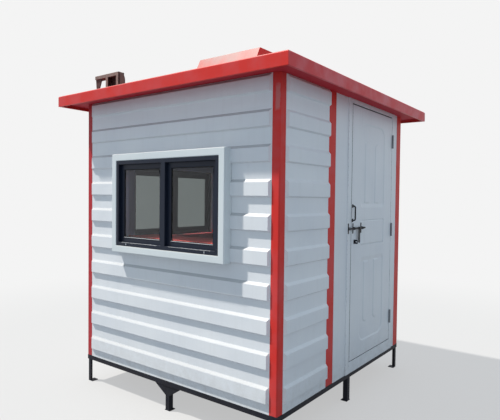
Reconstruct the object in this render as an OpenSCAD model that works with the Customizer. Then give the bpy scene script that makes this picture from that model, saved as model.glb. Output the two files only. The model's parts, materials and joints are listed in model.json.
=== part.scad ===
// Portable guard booth: a ribbed steel cabin on legs, with a flat roof, two windows and one door.
// The origin is on the ground under the middle of the booth. The front wall faces -Y, the door wall +X.

/* [Walls] */
// Width of the front wall over its corner posts
wall_w = 2135; // [1800:5:2600]
// Depth of the side walls over their corner posts
wall_d = 2090; // [1900:5:2600]
// Thickness of a wall panel behind its cladding
panel_t = 48; // [30:1:60]
// Side of the square corner posts
post_w = 65; // [60:1:90]
// Radius of a corner post's outer edge
post_r = 10; // [2:1:20]

/* [Cladding] */
// Thickness of the pressed sheet
sheet_t = 1.5; // [0.8:0.1:3]
// Distance from one rib to the next
rib_pitch = 232; // [180:1:300]
// Height of the lowest rib's centre above the base
rib_first = 125; // [90:1:160]
// Width of a rib at its foot
rib_foot = 122; // [108:1:170]
// Width of a rib's flat crest
rib_crest = 92; // [40:1:104]
// Height of the slope under a rib's crest
rib_under = 10; // [4:1:24]
// How far a rib stands out from the sheet
rib_h = 13; // [8:1:40]
// Bare sheet between a rib's end and the post
rib_gap = 4; // [4:1:30]
// Length of the slope that closes a rib's end
rib_end = 13; // [6:1:30]

/* [Base and legs] */
// Clear height under the base frame
leg_h = 200; // [120:5:300]
// Height of the base channel
base_h = 40; // [30:1:80]
// Width of the base channel's flanges
base_flange = 45; // [35:1:60]
// Thickness of the base channel's steel
base_t = 4; // [3:0.5:6]
// Width of a floor joist
joist_w = 40; // [30:1:60]
// Thickness of the floor panel
floor_t = 18; // [12:1:30]
// Width of a corner leg
leg_w = 36; // [30:1:56]
// Width of a middle leg
middle_leg_w = 42; // [30:1:56]
// Thickness of a leg's steel
leg_t = 5; // [4:0.5:8]
// Distance from the base's edge to a leg
leg_inset = 6; // [0:1:20]
// Width of a foot plate
foot_w = 58; // [56:1:120]
// Thickness of a foot plate
foot_t = 6; // [4:1:12]
// Length of a gusset's two straight sides
gusset = 80; // [40:1:110]

/* [Roof] */
// How far the roof reaches past the walls
overhang = 180; // [100:5:300]
// Height of the roof's top lip above the soffit
roof_h = 64; // [50:1:100]
// How far the fascia hangs below the soffit
fascia_drop = 28; // [10:1:32]
// Thickness of the fascia's folded sheet
fascia_t = 3; // [2:0.5:5]
// Radius of the fascia's upper edge
fascia_r = 12; // [6:1:20]
// Width of the fascia's top lip
fascia_lip = 40; // [20:1:80]
// Width of the fascia's bottom return
fascia_return = 18; // [10:1:40]
// Thickness of the ceiling panel
ceiling_t = 10; // [6:1:20]

/* [Roof cowl] */
// Width of the cowl
cowl_w = 560; // [400:5:700]
// Depth of the cowl
cowl_d = 360; // [250:5:500]
// Height of the cowl above the roof panel
cowl_h = 122; // [60:1:160]
// Run of the cowl's sloping front
cowl_slope = 60; // [20:1:120]
// Distance from the booth's middle to the cowl's middle
cowl_x = 616; // [300:1:640]
// Thickness of the cowl's sheet
cowl_t = 3; // [2:0.5:5]

/* [Roof bracket] */
// Length of the bracket's top bar
bracket_l = 392; // [300:1:450]
// Height of the bracket above the roof panel
bracket_h = 143; // [100:1:180]
// Depth of the bracket's top bar
bracket_d = 60; // [40:1:80]
// Thickness of the bracket's plates
bracket_t = 8; // [5:1:12]
// Height of the bracket's top bar
bracket_bar_h = 29; // [15:1:45]
// Width of the tapered leg at the top bar
bracket_leg_top = 86; // [50:1:120]
// Width of the tapered leg at its foot
bracket_leg_foot = 24; // [15:1:50]
// Width of the bracket's uprights
bracket_upright_w = 29; // [15:1:45]
// Distance from the bracket's left end to the first upright
bracket_upright_x = 149; // [125:1:180]
// Distance from the bracket's left end to the round cheek
bracket_cheek_x = 290; // [220:1:320]
// Radius of the cheek's round corner
bracket_cheek_r = 84; // [20:1:95]
// Distance from the booth's middle to the bracket's middle
bracket_x = 637; // [500:1:720]
// Distance from the front wall's line to the bracket's front
bracket_out = 87; // [50:1:120]

/* [Windows] */
// Width of a window over its frame
window_w = 1146; // [900:1:1250]
// Height of a window over its frame
window_h = 701; // [500:1:850]
// Height of the windows' lower edge above the base
window_sill = 1043; // [900:1:1150]
// Distance from the front wall's middle to the front window's middle
front_window_x = 26; // [-60:1:60]
// Distance from the left wall's middle to the left window's middle, towards the front
left_window_x = -10; // [-100:1:100]
// Width of the casing round a window
casing_w = 57; // [40:1:80]
// How far the casing stands out from the wall
casing_proud = 90; // [75:1:110]
// Width of the window frame's bars
frame_face = 30; // [20:1:45]
// Depth of the window frame
frame_depth = 70; // [64:1:73]
// How far the window frame is set back in its casing
frame_recess = 2; // [0:0.5:6]
// Width of the upright between a window's two leaves
mullion_w = 46; // [30:1:80]
// Width of the bars round a leaf
sash_face = 42; // [30:1:60]
// Thickness of a leaf's bars
sash_t = 18; // [14:1:20]
// Distance from the frame's front to the leaves
sash_setback = 38; // [10:1:44]
// Thickness of the glass
glass_t = 5; // [3:0.5:8]

/* [Counter] */
// Depth of the counter
counter_d = 350; // [200:5:450]
// Thickness of the counter's edge
counter_t = 30; // [18:1:40]
// Height of the counter's top above the base
counter_top = 1108; // [900:1:1150]
// How far the counter reaches past the window at each side
counter_past = 60; // [0:1:80]
// Width of a bracket under the counter
counter_bracket_w = 25; // [15:1:40]
// Length of a counter bracket's two straight sides
counter_bracket = 220; // [120:5:300]

/* [Door] */
// Width of the door leaf
leaf_w = 822; // [700:1:900]
// Height of the door leaf
leaf_h = 2125; // [1900:1:2400]
// Thickness of the door leaf
leaf_t = 40; // [35:1:48]
// Running gap round the door leaf
door_gap = 7.5; // [5:0.5:12]
// Running gap over the door leaf
head_gap = 10; // [5:0.5:14]
// Width of a door jamb's face
jamb_w = 60; // [40:1:80]
// How far the door frame stands out from the wall
door_proud = 10; // [4:1:40]
// Height of the door sill
sill_h = 96.5; // [60:0.5:160]
// Height of the door frame's head, up to the soffit
head_h = 36; // [30:1:300]
// Width of the stop that the door closes on
stop_w = 15; // [10:1:25]
// Width of the plain panel between the door frame and the back post
filler_w = 118; // [60:1:220]
// Width of the plain panel between the red post and the door frame
plain_w = 200; // [80:1:260]
// Width of the red post beside the ribbed bay
side_post_w = 108; // [50:1:130]

/* [Door pressing] */
// Width of the pressed panels on the leaf
press_w = 490; // [380:1:560]
// Width of a pressed groove
groove_w = 14; // [8:1:20]
// Depth of a pressed groove
groove_d = 4; // [2:0.5:8]
// Radius of the round corners of the upper and lower panels
press_r = 95; // [40:1:120]
// Height of the upper panel
upper_h = 790; // [600:1:800]
// Height of the middle panel
middle_h = 205; // [120:1:260]
// Height of the lower panel
lower_h = 690; // [500:1:720]
// Distance from the leaf's bottom to the lower panel
press_bottom = 105; // [60:1:160]
// Distance from one panel to the next
press_gap = 152; // [40:1:160]
// Width of a flute in the upper and lower panels
flute_w = 92; // [60:1:120]
// Distance between the flutes' centres
flute_pitch = 206; // [160:1:240]
// Distance from a flute's end to the panel's edge
flute_end = 120; // [70:1:160]

/* [Hinges] */
// Height of a hinge
hinge_h = 125; // [90:1:150]
// Outer radius of a hinge's knuckles
knuckle_r = 8; // [6:0.5:12]
// Radius of a hinge pin
pin_r = 4; // [3:0.5:5]
// Radial clearance of a pin in a knuckle
pin_clear = 0.1; // [0.05:0.05:0.3]
// Width of a hinge plate
hinge_plate_w = 30; // [20:1:34]
// Thickness of a hinge plate
hinge_plate_t = 2; // [1:0.5:2]
// Distance from the middle hinge to the outer ones
hinge_spread = 840; // [700:1:900]

/* [Handle] */
// Height of the handle's middle above the base
handle_z = 1336; // [1290:1:1450]
// Distance from the leaf's edge to the handle
handle_edge = 15; // [14:1:60]
// Distance between the handle's feet
handle_l = 118; // [100:1:150]
// Distance from the leaf to the grip's middle
handle_reach = 26; // [22:1:50]
// Radius of the grip
grip_r = 6; // [5:0.5:9]
// Radius of the grip's bends
grip_bend = 14; // [12:1:20]
// Length of a foot under the handle
handle_foot_l = 28; // [18:1:34]
// Width of a foot under the handle
handle_foot_w = 20; // [14:1:26]
// Thickness of a foot under the handle
handle_foot_t = 3; // [2:0.5:6]

/* [Bolt] */
// Height of the bolt above the base
bolt_z = 1210; // [1150:1:1230]
// Radius of the bolt's rod
rod_r = 7; // [5:0.5:9]
// Radial clearance round the rod
rod_clear = 0.4; // [0.2:0.1:1]
// Distance from the leaf to the rod's middle
rod_reach = 17; // [15:0.5:24]
// Length of the rod
rod_l = 265; // [250:1:320]
// How far the rod's tip reaches past the leaf's edge when drawn back
rod_past = 43; // [20:1:48]
// Travel of the bolt
bolt_travel = 30; // [15:1:40]
// Distance from the leaf's edge to the first guide
guide_edge = 17; // [12:1:40]
// Distance between the guides
guide_pitch = 150; // [120:1:180]
// Width of a guide or keeper along the rod
guide_w = 14; // [10:1:20]
// Height of a guide's plate
guide_h = 85; // [50:1:100]
// Thickness of the guides' plates
guide_t = 3; // [2:0.5:5]
// Clearance between the drawn rod and the keeper
keeper_clear = 6; // [5:0.5:12]
// Distance from the leaf's edge to the hasp's middle
hasp_edge = 112; // [100:1:130]
// Width of the hasp
hasp_w = 24; // [18:1:30]
// Thickness of the hasp
hasp_t = 6; // [4:0.5:8]
// Length of the hasp below the rod
hasp_l = 125; // [90:1:150]
// Outer radius of the hasp's collar and of the guides' eyes
collar_r = 11; // [10:0.5:14]
// Radius of the hasp's and the lock eye's holes
lock_hole_r = 6; // [4:0.5:7]
// Width of the lock eye
eye_w = 34; // [26:1:45]
// Distance from the hasp, with the bolt shut, to the lock eye
eye_gap = 8; // [5:0.5:20]

/* [Hidden] */
$fn = 48;
cut = 1;
base_top = leg_h + base_h;
skin = sheet_t + panel_t;

// The door sets the height of the walls, from the base to the soffit
leaf_z = sill_h + door_gap;
wall_h = leaf_z + leaf_h + head_gap + head_h;
rib_count = floor((wall_h - rib_first - rib_foot / 2) / rib_pitch) + 1;

// The door wall's bays, measured from the front corner
filler_x = wall_d - post_w - filler_w;
hinge_jamb_x = filler_x - jamb_w;
opening_w = leaf_w + 2 * door_gap;
opening_x = hinge_jamb_x - opening_w;
lock_jamb_x = opening_x - jamb_w;
plain_x = lock_jamb_x - plain_w;
side_post_x = plain_x - side_post_w;
leaf_x = opening_x + door_gap;
stop_y = -door_proud + leaf_t + door_gap;
leaf_face_y = -door_proud;

// The hinge axis stands just clear of the door's face, over the running gap
axis_clear = 0.5;
hinge_axis_x = hinge_jamb_x - door_gap / 2;
hinge_axis_y = leaf_face_y - knuckle_r - axis_clear;
hinge_mid_z = leaf_z + leaf_h / 2;
hinge_zs = [hinge_mid_z - hinge_spread, hinge_mid_z, hinge_mid_z + hinge_spread];
knuckle_gap = 0.5;
knuckle_h = hinge_h / 3;

// Least inner radius of a corner in the door's pressing
fold_r = 2;

rod_y = leaf_face_y - rod_reach;
rod_x = leaf_x - rod_past;
keeper_x = rod_x - keeper_clear - guide_w;
hasp_x = leaf_x + hasp_edge - hasp_w / 2;

casing_z = window_sill - casing_w;
casing_out_w = window_w + 2 * casing_w;
casing_out_h = window_h + 2 * casing_w;
frame_y = -casing_proud + frame_recess;
clear_w = window_w - 2 * frame_face;
clear_h = window_h - 2 * frame_face;
sash_w = (clear_w - mullion_w) / 2;
front_window_left = (wall_w - window_w) / 2 + front_window_x;
left_window_left = (wall_d - window_w) / 2 + left_window_x;

roof_w = wall_w + 2 * overhang;
roof_d = wall_d + 2 * overhang;
soffit_z = base_top + wall_h;
roof_top = soffit_z + roof_h - fascia_t;

RED = "firebrick";
WHITE = "ghostwhite";
BLACK = "#202228";
GREY = "gainsboro";

// Each wall is drawn as seen from outside: x runs to the right, y into the booth, z up from the base.
module on_front() {
  translate([-wall_w / 2, -wall_d / 2, base_top]) children();
}

module on_right() {
  translate([wall_w / 2, -wall_d / 2, base_top]) rotate([0, 0, 90]) children();
}

module on_back() {
  translate([wall_w / 2, wall_d / 2, base_top]) rotate([0, 0, 180]) children();
}

module on_left() {
  translate([-wall_w / 2, wall_d / 2, base_top]) rotate([0, 0, -90]) children();
}

// An outline in y and z, drawn out along x
module along_x(length) {
  rotate([90, 0, 90]) linear_extrude(length) children();
}

module mirror_both() {
  for (mx = [0, 1], my = [0, 1]) mirror([mx, 0, 0]) mirror([0, my, 0]) children();
}

// Stand
module base_frame() {
  inner_w = wall_w - 2 * base_flange;
  inner_d = wall_d - 2 * base_flange;
  hollow_h = base_h - 2 * base_t;
  color(BLACK) translate([0, 0, leg_h]) {
    difference() {
      translate([-wall_w / 2, -wall_d / 2, 0]) cube([wall_w, wall_d, base_h]);
      translate([-inner_w / 2, -inner_d / 2, -cut]) cube([inner_w, inner_d, base_h + 2 * cut]);
      translate([base_t - wall_w / 2, base_t - wall_d / 2, base_t])
        cube([wall_w - 2 * base_t, wall_d - 2 * base_t, hollow_h]);
    }
    for (side = [-1, 1])
      translate([side * wall_w / 6 - joist_w / 2, base_t - wall_d / 2, base_t])
        cube([joist_w, wall_d - 2 * base_t, hollow_h]);
  }
}

// Angle iron leg at the corner of the first quadrant, on its foot plate
module corner_leg() {
  x = wall_w / 2 - leg_inset - leg_w;
  y = wall_d / 2 - leg_inset - leg_w;
  translate([x, y, 0]) {
    translate([leg_w - foot_w, leg_w - foot_w, 0]) cube([foot_w, foot_w, foot_t]);
    difference() {
      translate([0, 0, foot_t]) cube([leg_w, leg_w, leg_h - foot_t]);
      translate([-cut, -cut, foot_t]) cube([leg_w - leg_t + cut, leg_w - leg_t + cut, leg_h]);
    }
  }
}

module corner_legs() {
  color(BLACK) mirror_both() corner_leg();
}

// Channel leg, its back flush with the leg line, y running inwards
module middle_leg() {
  translate([-foot_w / 2, 0, 0]) cube([foot_w, foot_w, foot_t]);
  difference() {
    translate([-middle_leg_w / 2, 0, foot_t])
      cube([middle_leg_w, middle_leg_w, leg_h - foot_t]);
    translate([-middle_leg_w / 2 + leg_t, leg_t, foot_t])
      cube([middle_leg_w - 2 * leg_t, middle_leg_w, leg_h]);
  }
}

// Gussets at both sides of a middle leg
module leg_gussets() {
  for (side = [0, 1])
    mirror([side, 0, 0])
      translate([middle_leg_w / 2, leg_t, leg_h])
        rotate([90, 0, 0])
          linear_extrude(leg_t) polygon([[0, 0], [gusset, 0], [0, -gusset]]);
}

module middle_legs() {
  color(BLACK) {
    for (turn = [0, 180]) {
      rotate([0, 0, turn]) translate([0, leg_inset - wall_d / 2, 0]) {
        middle_leg();
        leg_gussets();
      }
      rotate([0, 0, turn + 90]) translate([0, leg_inset - wall_w / 2, 0]) middle_leg();
    }
  }
}

// Room
module room_sheet(z, thick) {
  difference() {
    translate([skin - wall_w / 2, skin - wall_d / 2, z])
      cube([wall_w - 2 * skin, wall_d - 2 * skin, thick]);
    mirror_both()
      translate([wall_w / 2 - post_w, wall_d / 2 - post_w, z - cut])
        cube([post_w + cut, post_w + cut, thick + 2 * cut]);
    translate([0, 0, z - base_top - cut])
      on_right() translate([side_post_x, 0, 0]) cube([side_post_w, post_w, thick + 2 * cut]);
  }
}

module floor_panel() {
  color("dimgray") room_sheet(base_top, floor_t);
}

module ceiling_panel() {
  color(GREY) room_sheet(soffit_z - ceiling_t, ceiling_t);
}

// A rectangle with its corner at the origin rounded
module round_corner(w, h, r) {
  translate([r, 0]) square([w - r, h]);
  translate([0, r]) square([w, h - r]);
  intersection() {
    square(r);
    translate([r, r]) circle(r);
  }
}

module corner_post() {
  color(RED) linear_extrude(wall_h) round_corner(post_w, post_w, post_r);
}

module post_front_left() {
  on_front() corner_post();
}

module post_front_right() {
  on_right() corner_post();
}

module post_back_right() {
  on_back() corner_post();
}

module post_back_left() {
  on_left() corner_post();
}

module door_side_post() {
  color(RED) on_right() translate([side_post_x, 0, 0]) cube([side_post_w, post_w, wall_h]);
}

module window_hole(left) {
  translate([left, -casing_proud - cut, window_sill])
    cube([window_w, casing_proud + skin + 2 * cut, window_h]);
}

module wall_panel(length) {
  color(GREY) translate([post_w, sheet_t, 0]) cube([length - 2 * post_w, panel_t, wall_h]);
}

module front_wall() {
  on_front() difference() {
    wall_panel(wall_w);
    window_hole(front_window_left);
  }
}

module left_wall() {
  on_left() difference() {
    wall_panel(wall_d);
    window_hole(left_window_left);
  }
}

module back_wall() {
  on_back() wall_panel(wall_w);
}

module door_wall() {
  color(WHITE) on_right() {
    translate([post_w, sheet_t, 0]) cube([side_post_x - post_w, panel_t, wall_h]);
    translate([plain_x, 0, 0]) cube([plain_w, skin, wall_h]);
    translate([filler_x, 0, 0]) cube([filler_w, skin, wall_h]);
  }
}

// Cladding
function fold_inset(run) = sheet_t * (sqrt(run * run + rib_h * rib_h) - run) / rib_h;

// One rib with sloping sides, its near end closed by a slope and its far end by a slope or squarely
// inset is 0 for the sheet's outer face and 1 for its inner face
module rib(length, inset, square_end) {
  under_in = inset * fold_inset(rib_under);
  over_in = inset * fold_inset(rib_foot - rib_crest - rib_under);
  end_in = inset * fold_inset(rib_end);
  low = under_in - rib_foot / 2;
  high = rib_foot / 2 - over_in;
  crest_high = rib_under + rib_crest - rib_foot / 2 - over_in;
  far_foot = length - (square_end ? inset * sheet_t : end_in);
  far_crest = square_end ? far_foot : far_foot - rib_end;
  intersection() {
    along_x(length)
      polygon([[0, low], [-rib_h, low + rib_under], [-rib_h, crest_high], [0, high]]);
    translate([0, 0, -rib_foot])
      linear_extrude(2 * rib_foot)
        polygon([[end_in, 0], [rib_end + end_in, -rib_h], [far_crest, -rib_h], [far_foot, 0]]);
  }
}

// A flat sheet of the given length, pressed out into ribs
module cladding(length, square_end) {
  rib_l = square_end ? length - rib_gap : length - 2 * rib_gap;
  color(WHITE) difference() {
    union() {
      cube([length, sheet_t, wall_h]);
      for (i = [0 : rib_count - 1])
        translate([rib_gap, 0, rib_first + i * rib_pitch]) rib(rib_l, 0, square_end);
    }
    for (i = [0 : rib_count - 1])
      translate([rib_gap, sheet_t, rib_first + i * rib_pitch]) rib(rib_l, 1, square_end);
  }
}

// Clears the ribs from behind a window casing
module casing_seat(left) {
  translate([left - casing_w, -casing_proud, casing_z])
    cube([casing_out_w, casing_proud, casing_out_h]);
}

module front_cladding() {
  on_front() difference() {
    translate([post_w, 0, 0]) cladding(wall_w - 2 * post_w, false);
    casing_seat(front_window_left);
    window_hole(front_window_left);
  }
}

module left_cladding() {
  on_left() difference() {
    translate([post_w, 0, 0]) cladding(wall_d - 2 * post_w, false);
    casing_seat(left_window_left);
    window_hole(left_window_left);
  }
}

module back_cladding() {
  on_back() translate([post_w, 0, 0]) cladding(wall_w - 2 * post_w, false);
}

module door_side_cladding() {
  on_right() translate([post_w, 0, 0]) cladding(side_post_x - post_w, true);
}

// Windows, drawn from the lower left corner of the window frame
module bar_ring(w, h, bar, depth) {
  difference() {
    cube([w, depth, h]);
    translate([bar, -cut, bar]) cube([w - 2 * bar, depth + 2 * cut, h - 2 * bar]);
  }
}

module at_window(left) {
  translate([left, 0, window_sill]) children();
}

module window_casing() {
  color(WHITE)
    translate([-casing_w, -casing_proud, -casing_w])
      bar_ring(casing_out_w, casing_out_h, casing_w, casing_proud);
}

module window_frame() {
  color(BLACK) translate([0, frame_y, 0]) {
    bar_ring(window_w, window_h, frame_face, frame_depth);
    translate([(window_w - mullion_w) / 2, 0, 0]) cube([mullion_w, frame_depth, window_h]);
  }
}

// The two leaves, one at each side of the upright
module at_sashes() {
  for (x = [frame_face, window_w - frame_face - sash_w])
    translate([x, frame_y + sash_setback, frame_face]) children();
}

module window_sashes() {
  color(BLACK) at_sashes() bar_ring(sash_w, clear_h, sash_face, sash_t);
}

module window_glass() {
  color("lightblue", 0.4)
    at_sashes()
      translate([sash_face, (sash_t - glass_t) / 2, sash_face])
        cube([sash_w - 2 * sash_face, glass_t, clear_h - 2 * sash_face]);
}

module front_window_casing() {
  on_front() at_window(front_window_left) window_casing();
}

module front_window_frame() {
  on_front() at_window(front_window_left) window_frame();
}

module front_window_sashes() {
  on_front() at_window(front_window_left) window_sashes();
}

module front_window_glass() {
  on_front() at_window(front_window_left) window_glass();
}

module left_window_casing() {
  on_left() at_window(left_window_left) window_casing();
}

module left_window_frame() {
  on_left() at_window(left_window_left) window_frame();
}

module left_window_sashes() {
  on_left() at_window(left_window_left) window_sashes();
}

module left_window_glass() {
  on_left() at_window(left_window_left) window_glass();
}

module window_counter() {
  counter_w = window_w + 2 * counter_past;
  bottom = counter_top - counter_t;
  color(RED) on_front() translate([front_window_left - counter_past, skin, 0]) {
    translate([0, 0, bottom]) cube([counter_w, counter_d, counter_t]);
    for (x = [counter_past, counter_w - counter_past - counter_bracket_w])
      translate([x, 0, bottom])
        along_x(counter_bracket_w) polygon([[0, 0], [counter_bracket, 0], [0, -counter_bracket]]);
  }
}

// Door frame
module jamb() {
  cube([jamb_w, door_proud + skin, wall_h]);
  translate([jamb_w, stop_y + door_proud, 0]) cube([stop_w, skin - stop_y, wall_h]);
}

module door_jambs() {
  color(WHITE) on_right() translate([0, -door_proud, 0]) {
    translate([lock_jamb_x, 0, 0]) jamb();
    translate([hinge_jamb_x + jamb_w, 0, 0]) mirror([1, 0, 0]) jamb();
  }
}

// A rail between the jambs; its stop stands past it on the leaf's side
module frame_rail(height) {
  translate([opening_x, -door_proud, 0]) cube([opening_w, stop_y + door_proud, height]);
  translate([opening_x + stop_w, stop_y, 0])
    cube([opening_w - 2 * stop_w, skin - stop_y, height + stop_w]);
}

module door_sill() {
  color(WHITE) on_right() frame_rail(sill_h);
}

module door_head() {
  color(WHITE) on_right() translate([0, 0, wall_h]) mirror([0, 0, 1]) frame_rail(head_h);
}

// Hinges
module knuckle(z, height) {
  translate([0, 0, z]) cylinder(h = height, r = knuckle_r);
}

// A plate in the running gap, on the side of +x, and its webs to the knuckles
module hinge_plate(zs, height) {
  plate_x = door_gap / 2 - hinge_plate_t;
  plate_y = knuckle_r + axis_clear;
  translate([plate_x, plate_y, -hinge_h / 2]) cube([hinge_plate_t, hinge_plate_w, hinge_h]);
  for (z = zs) translate([plate_x, 0, z]) cube([hinge_plate_t, plate_y, height]);
}

module at_hinges() {
  on_right() for (z = hinge_zs) translate([hinge_axis_x, hinge_axis_y, z]) children();
}

module frame_hinges() {
  end_h = knuckle_h - knuckle_gap;
  zs = [-hinge_h / 2, hinge_h / 2 - end_h];
  color("gray") at_hinges() {
    hinge_plate(zs, end_h);
    for (z = zs) knuckle(z, end_h);
    translate([0, 0, -hinge_h / 2]) cylinder(h = hinge_h, r = pin_r);
  }
}

module door_hinges() {
  mid_h = knuckle_h - knuckle_gap;
  color("gray") at_hinges() difference() {
    union() {
      mirror([1, 0, 0]) hinge_plate([-mid_h / 2], mid_h);
      knuckle(-mid_h / 2, mid_h);
    }
    translate([0, 0, -hinge_h]) cylinder(h = 2 * hinge_h, r = pin_r + pin_clear);
  }
}

// Door leaf, drawn in x and z from its lower left corner
module round_panel(w, h, r) {
  translate([r, 0]) square([w - 2 * r, h]);
  translate([0, r]) square([w, h - 2 * r]);
  for (x = [r, w - r], y = [r, h - r]) translate([x, y]) circle(r);
}

// A groove that follows the panel's edge
module groove(w, h, r) {
  inner_r = max(r - groove_w, fold_r);
  difference() {
    round_panel(w, h, r);
    translate([groove_w, groove_w]) round_panel(w - 2 * groove_w, h - 2 * groove_w, inner_r);
  }
}

module fluted_panel(h) {
  groove(press_w, h, press_r);
  for (side = [-1, 1])
    translate([press_w / 2 + side * flute_pitch / 2 - flute_w / 2, flute_end])
      groove(flute_w, h - 2 * flute_end, (flute_w - fold_r) / 2);
}

module pressed_grooves() {
  corner_r = groove_w + fold_r;
  translate([(leaf_w - press_w) / 2, press_bottom]) {
    fluted_panel(lower_h);
    translate([0, lower_h + press_gap]) groove(press_w, middle_h, corner_r);
    translate([0, lower_h + middle_h + 2 * press_gap - 2 * groove_w]) fluted_panel(upper_h);
  }
}

module on_leaf() {
  on_right() translate([leaf_x, leaf_face_y, leaf_z]) children();
}

module door_leaf() {
  color(WHITE) on_leaf() difference() {
    cube([leaf_w, leaf_t, leaf_h]);
    translate([0, groove_d, 0]) rotate([90, 0, 0]) linear_extrude(groove_d + cut) pressed_grooves();
  }
}

// Pull handle: a bent bar on two feet
module door_handle() {
  bar_l = handle_l - 2 * grip_bend;
  leg_l = handle_reach - grip_bend;
  color(BLACK) on_leaf() translate([handle_edge, 0, handle_z - leaf_z]) {
    translate([0, -handle_reach, -bar_l / 2]) cylinder(h = bar_l, r = grip_r);
    for (end = [0, 1]) mirror([0, 0, end]) translate([0, 0, handle_l / 2]) {
      translate([0, -leg_l, -grip_bend])
        rotate([0, -90, 0]) rotate([0, 0, -90])
          rotate_extrude(angle = 90) translate([grip_bend, 0]) circle(grip_r);
      rotate([90, 0, 0]) cylinder(h = leg_l, r = grip_r);
      translate([-handle_foot_w / 2, -handle_foot_t, -handle_foot_l / 2])
        cube([handle_foot_w, handle_foot_t, handle_foot_l]);
    }
  }
}

// Bolt
module rod_eye(width) {
  rotate([-90, 0, 0]) rotate([0, 90, 0]) cylinder(h = width, r = collar_r);
}

module rod_bore(width) {
  translate([-cut, 0, 0]) rotate([0, 90, 0]) cylinder(h = width + 2 * cut, r = rod_r + rod_clear);
}

// A plate on the door's face with an eye that the rod runs through
module rod_guide() {
  difference() {
    union() {
      translate([0, rod_reach - guide_t, -guide_h / 2]) cube([guide_w, guide_t, guide_h]);
      translate([0, 0, -collar_r]) cube([guide_w, rod_reach, 2 * collar_r]);
      rod_eye(guide_w);
    }
    rod_bore(guide_w);
  }
}

module on_rod(x) {
  on_right() translate([x, rod_y, bolt_z]) children();
}

module bolt_keeper() {
  color(BLACK) on_rod(keeper_x) rod_guide();
}

module bolt_fittings() {
  shut_hasp_x = hasp_x - bolt_travel;
  eye_z = bolt_z - hasp_l + hasp_w / 2;
  eye_out = rod_reach + hasp_w / 2;
  color(BLACK) {
    for (i = [0, 1]) on_rod(leaf_x + guide_edge + i * guide_pitch) rod_guide();
    on_right() translate([shut_hasp_x - eye_gap - guide_t, leaf_face_y, eye_z]) {
      difference() {
        translate([0, -eye_out, -eye_w / 2]) cube([guide_t, eye_out, eye_w]);
        translate([-cut, -eye_out + lock_hole_r * 2, 0])
          rotate([0, 90, 0]) cylinder(h = guide_t + 2 * cut, r = lock_hole_r);
      }
      translate([-eye_w / 2, -guide_t, -eye_w / 2]) cube([eye_w / 2, guide_t, eye_w]);
    }
  }
}

module bolt_rod() {
  color(BLACK) on_rod(rod_x) rotate([0, 90, 0]) cylinder(h = rod_l, r = rod_r);
}

module hasp() {
  color(BLACK) on_rod(hasp_x) difference() {
    union() {
      rod_eye(hasp_w);
      translate([0, -hasp_t / 2, hasp_w / 2 - hasp_l]) cube([hasp_w, hasp_t, hasp_l - hasp_w / 2]);
      translate([hasp_w / 2, hasp_t / 2, hasp_w / 2 - hasp_l])
        rotate([90, 0, 0]) cylinder(h = hasp_t, r = hasp_w / 2);
    }
    rod_bore(hasp_w);
    translate([hasp_w / 2, hasp_t, hasp_w / 2 - hasp_l])
      rotate([90, 0, 0]) cylinder(h = 2 * hasp_t, r = lock_hole_r);
  }
}

// Roof
// A slab's section across its span, with rounded upper edges that fit inside the fascia
module slab_section(span) {
  for (side = [0, 1])
    mirror([side, 0])
      translate([-span / 2, roof_top - soffit_z])
        mirror([0, 1]) round_corner(span / 2, roof_top - soffit_z, fascia_r - fascia_t);
}

module roof_panel() {
  w = roof_w - 2 * fascia_t;
  d = roof_d - 2 * fascia_t;
  color("darkred") translate([0, 0, soffit_z]) intersection() {
    translate([-w / 2, 0, 0]) along_x(w) slab_section(d);
    rotate([0, 0, 90]) translate([-d / 2, 0, 0]) along_x(d) slab_section(w);
  }
}

// A folded sheet with a round upper edge, a top lip and a bottom return, drawn from the top down
module fascia_section(height) {
  difference() {
    round_corner(fascia_lip, height, fascia_r);
    translate([fascia_t, fascia_t])
      round_corner(fascia_lip, height - 2 * fascia_t, fascia_r - fascia_t);
    translate([fascia_return, height - fascia_t - cut]) square([fascia_lip, fascia_t + 2 * cut]);
  }
}

// One side of the fascia, mitred at both ends; y runs inwards from its face
module fascia(length) {
  height = fascia_drop + roof_h;
  color(RED) translate([-length / 2, 0, soffit_z - fascia_drop]) intersection() {
    along_x(length) translate([0, height]) mirror([0, 1]) fascia_section(height);
    linear_extrude(height)
      polygon([[0, 0], [fascia_lip, fascia_lip], [length - fascia_lip, fascia_lip], [length, 0]]);
  }
}

module fascia_front() {
  translate([0, -roof_d / 2, 0]) fascia(roof_w);
}

module fascia_right() {
  rotate([0, 0, 90]) translate([0, -roof_w / 2, 0]) fascia(roof_d);
}

module fascia_back() {
  rotate([0, 0, 180]) translate([0, -roof_d / 2, 0]) fascia(roof_w);
}

module fascia_left() {
  rotate([0, 0, -90]) translate([0, -roof_w / 2, 0]) fascia(roof_d);
}

// A low sheet cowl with a sloping front, its crest over the front wall
module roof_cowl() {
  color(RED) translate([cowl_x - cowl_w / 2, -wall_d / 2 - cowl_slope, roof_top])
    difference() {
      along_x(cowl_w) polygon([[0, 0], [cowl_slope, cowl_h], [cowl_d, cowl_h], [cowl_d, 0]]);
      translate([cowl_t, 0, -cowl_t])
        along_x(cowl_w - 2 * cowl_t)
          polygon([[2 * cowl_t, 0], [cowl_slope + cowl_t, cowl_h],
            [cowl_d - cowl_t, cowl_h], [cowl_d - cowl_t, 0]]);
    }
}

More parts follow.
